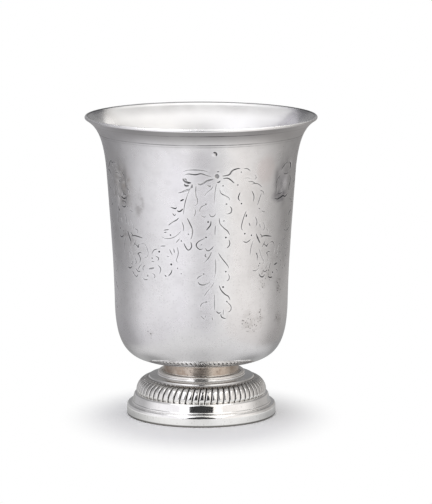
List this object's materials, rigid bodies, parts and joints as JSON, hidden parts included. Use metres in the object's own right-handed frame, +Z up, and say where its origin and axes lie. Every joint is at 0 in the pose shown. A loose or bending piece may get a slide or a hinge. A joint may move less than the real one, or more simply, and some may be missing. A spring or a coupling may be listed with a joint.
{
  "type": "footed beaker",
  "caption": "Footed silver drinking beaker: tulip-shaped bowl with an everted lip, on a short neck and a hollow foot with a leaning gadroon border.",
  "frame": {"origin": "centre of the ring that the foot stands on, at the height of the table", "axes": "+Z up along the axis of revolution; -Y faces the viewer in the picture"},
  "size_m": [0.0884, 0.0884, 0.115],
  "materials": {
    "bowl_silver": "old hand polish, soft, with fine scratches and grey tarnish in the engraved lines",
    "foot_silver": "bright polish",
    "gadroon_silver": "bright polish, dark tarnish in the cuts between the lobes",
    "neck_silver": "bright polish with a warm film of tarnish"
  },
  "bodies": {
    "root": {"base_band": "foot_silver", "step_moulding": "foot_silver", "gadroon_band": "gadroon_silver", "foot_cap": "foot_silver", "neck_bead": "neck_silver", "neck": "neck_silver", "bowl": "bowl_silver"}
  },
  "joints": []
}
